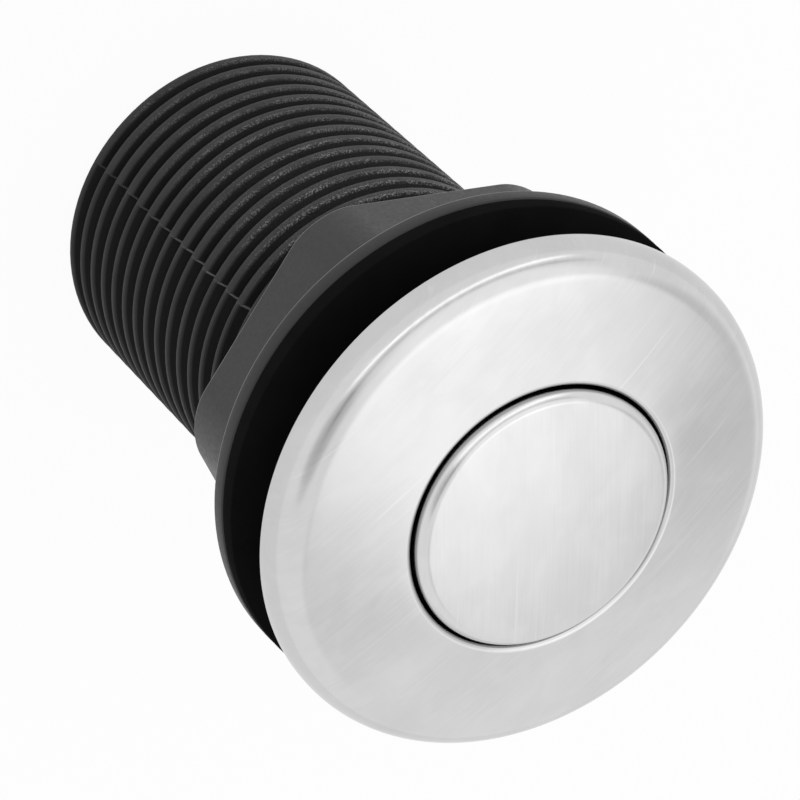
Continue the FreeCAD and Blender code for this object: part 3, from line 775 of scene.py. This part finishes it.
# Bellows: a moulded rubber cup in the barrel's chamber, with a closed top, folds that press
# flat when the button goes down, and a neck stretched over the plug's spigot.

BELLOWS_TOP = -14.7
BELLOWS_CAP = 1.2
BELLOWS_RADIUS = 12.3
BELLOWS_FOLD = 2.9
BELLOWS_FOLDS = 5
BELLOWS_WALL = 0.7
BELLOWS_NECK = 7.0
NECK_TOP = -35.7
NECK_FOOT = -39.95
SPIGOT = 6.0

folds_top = BELLOWS_TOP - BELLOWS_CAP
fold_pitch = (folds_top - NECK_TOP) / (BELLOWS_FOLDS + 0.5)
outside, inside = [], []
for step in range(BELLOWS_FOLDS * 12 + 1):
    wave = BELLOWS_FOLD / 2 * (1 - math.cos(2 * math.pi * step / 12))
    level = folds_top - fold_pitch * step / 12
    outside.append((BELLOWS_RADIUS - wave, level))
    inside.append((BELLOWS_RADIUS - BELLOWS_WALL - wave, level))
bellows_outline = [(0, BELLOWS_TOP), (BELLOWS_RADIUS - 0.6, BELLOWS_TOP)]
bellows_outline += [(BELLOWS_RADIUS, BELLOWS_TOP - 0.6)] + outside
bellows_outline += [(BELLOWS_NECK, NECK_TOP), (BELLOWS_NECK, NECK_FOOT), (SPIGOT, NECK_FOOT)]
bellows_outline += [(SPIGOT, NECK_TOP + BELLOWS_WALL)] + inside[::-1] + [(0, folds_top)]
bellows = spun("bellows", bellows_outline, 96, closed=False)
smooth(bellows, 50)
bellows_rubber = soft_rubber(
    "bellows rubber", (0.010, 0.010, 0.010), (0.020, 0.020, 0.020), 0.7, 2200.0, 0.3
)
bellows.data.materials.append(bellows_rubber)
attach(bellows, "barrel")
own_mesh(bellows)
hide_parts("bellows")

# Hose plug: a black moulded disc that closes the barrel's rear. The bellows' spigot stands on
# it, and behind it is the barbed nipple for the air hose, with the air way through both.

PLUG_RADIUS = 13.25
PLUG_FOOT = -45.0
PLUG_GROOVE = 12.1
SPIGOT_TOP = -36.6
AIR_BORE = 1.2
NIPPLE = 2.1
BARB = 2.5
BARB_TIP = 1.75
LAND_BOTTOM = -49.5
BARB_LENGTH = 2.1
SEAL_TOP = -41.75
SEAL_BOTTOM = -43.25

barb_foot = LAND_BOTTOM - BARB_LENGTH
tip_foot = barb_foot - BARB_LENGTH
plug_outline = [(AIR_BORE, SPIGOT_TOP), (AIR_BORE, tip_foot + 0.25)]
plug_outline += [(AIR_BORE + 0.2, tip_foot), (BARB_TIP - 0.1, tip_foot)]
plug_outline += [(BARB_TIP, tip_foot + 0.1), (BARB - 0.04, barb_foot - 0.1)]
plug_outline += [(BARB, barb_foot), (BARB - 0.06, barb_foot + 0.06), (NIPPLE, barb_foot + 0.06)]
plug_outline += [(BARB - 0.04, LAND_BOTTOM - 0.1), (BARB, LAND_BOTTOM)]
plug_outline += [(BARB - 0.06, LAND_BOTTOM + 0.06), (NIPPLE, LAND_BOTTOM + 0.06)]
plug_outline += arc(NIPPLE + 0.6, PLUG_FOOT - 0.6, 0.6, 180, 90, 5)
plug_outline += [(PLUG_RADIUS - 0.2, PLUG_FOOT), (PLUG_RADIUS, PLUG_FOOT + 0.2)]
plug_outline += [(PLUG_RADIUS, SEAL_BOTTOM), (PLUG_GROOVE, SEAL_BOTTOM)]
plug_outline += [(PLUG_GROOVE, SEAL_TOP), (PLUG_RADIUS, SEAL_TOP), (PLUG_RADIUS, PLUG_TOP)]
plug_outline += [(SPIGOT - 0.05, PLUG_TOP), (SPIGOT - 0.05, SPIGOT_TOP - 0.3)]
plug_outline += [(SPIGOT - 0.35, SPIGOT_TOP)]
plug = spun("plug", plug_outline, 96)
smooth(plug, 30)
plug_plastic = moulded_plastic(
    "plug plastic", (0.010, 0.010, 0.011), (0.020, 0.020, 0.021), 0.45, 3000.0, 0.2
)
plug.data.materials.append(plug_plastic)
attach(plug, "barrel")
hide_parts("hose_plug")

# Retaining ring: a split ring of spring steel, stamped, that sits in the barrel's groove behind
# the plug. The eyes at its ends take the pliers.

RING_OUTSIDE = 13.95
RING_INSIDE = 12.35
RING_FOOT = -46.15
RING_THICK = 1.1
RING_OPENING = 40.0
EYE_RADIUS = 1.3
EYE_TURN = 5.0
EYE_CUT = 4

ring_outline = [(RING_INSIDE, RING_FOOT), (RING_OUTSIDE, RING_FOOT)]
ring_outline += [(RING_OUTSIDE, RING_FOOT + RING_THICK), (RING_INSIDE, RING_FOOT + RING_THICK)]
ring = start_outline("ring")
draw_outline(ring_outline + ring_outline[:1])
bpy.ops.mesh.select_all(action="SELECT")
bpy.ops.mesh.remove_doubles(threshold=1e-7)
bpy.ops.mesh.edge_face_add()
opening = math.radians(RING_OPENING)
bpy.ops.transform.rotate(value=-(math.pi + opening / 2), orient_axis="Z", center_override=(0, 0, 0))
bpy.ops.mesh.spin(
    steps=96, angle=2 * math.pi - opening, center=(0, 0, 0), axis=(0, 0, 1)
)
bpy.ops.mesh.select_all(action="SELECT")
bpy.ops.mesh.normals_make_consistent(inside=False)
bpy.ops.object.mode_set(mode="OBJECT")
eye_cuts = ((EYE_RADIUS, RING_THICK, "UNION"), (EYE_RADIUS / 2, EYE_CUT, "DIFFERENCE"))
for radius, thick, operation in eye_cuts:
    for side in (1, -1):
        turn = math.pi - side * (opening / 2 + math.radians(EYE_TURN))
        bpy.ops.object.select_all(action="DESELECT")
        bpy.ops.mesh.primitive_cylinder_add(
            vertices=40,
            radius=radius * MM,
            depth=thick * MM,
            location=(
                RING_INSIDE * MM * math.cos(turn),
                RING_INSIDE * MM * math.sin(turn),
                (RING_FOOT + RING_THICK / 2) * MM,
            ),
        )
        combine(ring, bpy.context.object, operation)
ease_edges(ring, 0.08, 40, 2)
smooth(ring, 30)


def spring_steel(name):
    """Dark oiled spring steel: a blued sheen with fine blotches."""
    material, nodes, links, shader = new_material(name)
    shader.inputs["Metallic"].default_value = 1.0
    pattern = nodes.new("ShaderNodeGroup")
    pattern.node_tree = grain
    pattern.inputs["Size"].default_value = 1800.0
    tint = nodes.new("ShaderNodeMix")
    tint.data_type = "RGBA"
    tint.inputs[6].default_value = (0.09, 0.10, 0.12, 1)
    tint.inputs[7].default_value = (0.30, 0.30, 0.31, 1)
    links.new(pattern.outputs["Patches"], tint.inputs[0])
    links.new(tint.outputs[2], shader.inputs["Base Color"])
    rough = nodes.new("ShaderNodeMapRange")
    rough.inputs["To Min"].default_value = 0.25
    rough.inputs["To Max"].default_value = 0.5
    links.new(pattern.outputs["Relief"], rough.inputs["Value"])
    links.new(rough.outputs["Result"], shader.inputs["Roughness"])
    return material


ring.data.materials.append(spring_steel("ring steel"))
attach(ring, "barrel")
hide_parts("retaining_ring")

# Inside the barrel: the natural white plunger under the cap, its square seal, the plug's seal
# and the collar that grips the bellows' neck. They keep their CAD shapes.

plunger_plastic = moulded_plastic(
    "plunger plastic", (0.62, 0.61, 0.57), (0.74, 0.73, 0.70), 0.4, 1500.0, 0.15
)
seal_rubber = soft_rubber(
    "seal rubber", (0.008, 0.008, 0.008), (0.016, 0.016, 0.016), 0.5, 2500.0, 0.2
)
collar_plastic = moulded_plastic(
    "collar plastic", (0.010, 0.010, 0.011), (0.022, 0.022, 0.023), 0.4, 2500.0, 0.2
)
inner_finishes = {
    "button_plunger": (plunger_plastic, "white_plastic"),
    "plunger_seal": (seal_rubber, "black_rubber"),
    "plug_seal": (seal_rubber, "black_rubber"),
    "bellows_collar": (collar_plastic, "black_plastic"),
}
for node, (finish, slot_name) in inner_finishes.items():
    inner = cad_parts[node]
    inner.data.materials.clear()
    inner.data.materials.append(finish)

# Studio: a plain pale floor under the barrel's rear rim, and a white tent of light all round
# that is brighter overhead and at the left front, and darker where the photographer stood.

bpy.ops.object.select_all(action="DESELECT")
bpy.ops.mesh.primitive_plane_add(size=6.0, location=(0, 0, SHANK_END * MM))
floor = bpy.context.object
floor.name = "floor"
floor_white, nodes, links, shader = new_material("floor white")
shader.inputs["Base Color"].default_value = (0.72, 0.72, 0.72, 1)
shader.inputs["Roughness"].default_value = 0.9
glow = nodes.new("ShaderNodeEmission")
glow.inputs["Strength"].default_value = 1.0
ray = nodes.new("ShaderNodeLightPath")
share = calculate(nodes, links, "MULTIPLY", ray.outputs["Is Camera Ray"], 0.95)
share = calculate(nodes, links, "MULTIPLY_ADD", ray.outputs["Is Glossy Ray"], 0.5, share)
both = nodes.new("ShaderNodeMixShader")
links.new(share, both.inputs[0])
links.new(shader.outputs[0], both.inputs[1])
links.new(glow.outputs[0], both.inputs[2])
links.new(both.outputs[0], nodes["Material Output"].inputs["Surface"])
floor.data.materials.append(floor_white)
floor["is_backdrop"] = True

TENT_LEVEL = 0.95
TENT_AREAS = (
    (158.0, 24.0, 14.0, 30.0, 0.34),
    (166.0, 55.0, 6.0, 30.0, -0.20),
    (98.0, 34.0, 4.0, 18.0, -0.11),
    (-115.0, 26.0, 18.0, 38.0, 0.20),
    (-8.0, 45.0, 5.0, 24.0, -0.36),
)
TENT_STRIPS = (
    (131.5, 28.2, 86.0, 5.5, 0.80, -80.0, 66.0, 34.0, 50.0),
    (155.7, 17.7, 62.3, 6.0, -0.28, -75.0, 55.0, 40.0, 60.0),
)

world = bpy.data.worlds.new("studio")
bpy.context.scene.world = world
world.use_nodes = True
nodes, links = world.node_tree.nodes, world.node_tree.links
direction = nodes.new("ShaderNodeTexCoord")


def toward(azimuth, from_zenith):
    """The cosine between the ray and a direction in the tent."""
    turn, lean = math.radians(azimuth), math.radians(from_zenith)
    step = nodes.new("ShaderNodeVectorMath")
    step.operation = "DOT_PRODUCT"
    step.inputs[1].default_value = (
        math.sin(lean) * math.cos(turn), math.sin(lean) * math.sin(turn), math.cos(lean)
    )
    links.new(direction.outputs["Generated"], step.inputs[0])
    return step.outputs["Value"]


def patch(azimuth, from_zenith, core, rim, amount):
    """A round patch of the tent that fades out from its core to its rim."""
    edge, middle = math.cos(math.radians(rim)), math.cos(math.radians(core))
    return fade(nodes, links, toward(azimuth, from_zenith), edge, middle, 0.0, amount)


level = TENT_LEVEL
for azimuth, from_zenith, core, rim, amount in TENT_AREAS:
    area = patch(azimuth, from_zenith, core, rim, amount)
    level = calculate(nodes, links, "ADD", area, level)
for azimuth, from_zenith, away, half, amount, *window in TENT_STRIPS:
    middle, width = math.cos(math.radians(away)), math.sin(math.radians(away)) * math.radians(half)
    offset = calculate(nodes, links, "SUBTRACT", toward(azimuth, from_zenith), middle)
    strip = fade(nodes, links, calculate(nodes, links, "ABSOLUTE", offset), width, 0.0)
    strip = calculate(nodes, links, "MULTIPLY", strip, patch(*window, amount))
    level = calculate(nodes, links, "ADD", strip, level)
seen = nodes.new("ShaderNodeLightPath")
plain = nodes.new("ShaderNodeMix")
plain.inputs[3].default_value = 1.0
links.new(seen.outputs["Is Camera Ray"], plain.inputs[0])
links.new(level, plain.inputs[2])
nodes["Background"].inputs["Color"].default_value = (1, 1, 1, 1)
links.new(plain.outputs[0], nodes["Background"].inputs["Strength"])

# Camera: a long lens at the photograph's place, rolled so that the barrel points up left.

CAMERA_PLACE = (178.06, -181.83, 282.70)
CAMERA_TURN = (-30.388, -27.671, -174.237)
LENS = 201.15

view = bpy.data.cameras.new("camera")
view.lens = LENS
view.sensor_width = 36.0
view.clip_start = 0.01
camera = bpy.data.objects.new("camera", view)
bpy.context.collection.objects.link(camera)
camera.location = [value * MM for value in CAMERA_PLACE]
camera.rotation_euler = [math.radians(value) for value in CAMERA_TURN]
bpy.context.scene.camera = camera
bpy.context.scene.view_settings.view_transform = "Standard"

low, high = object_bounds()
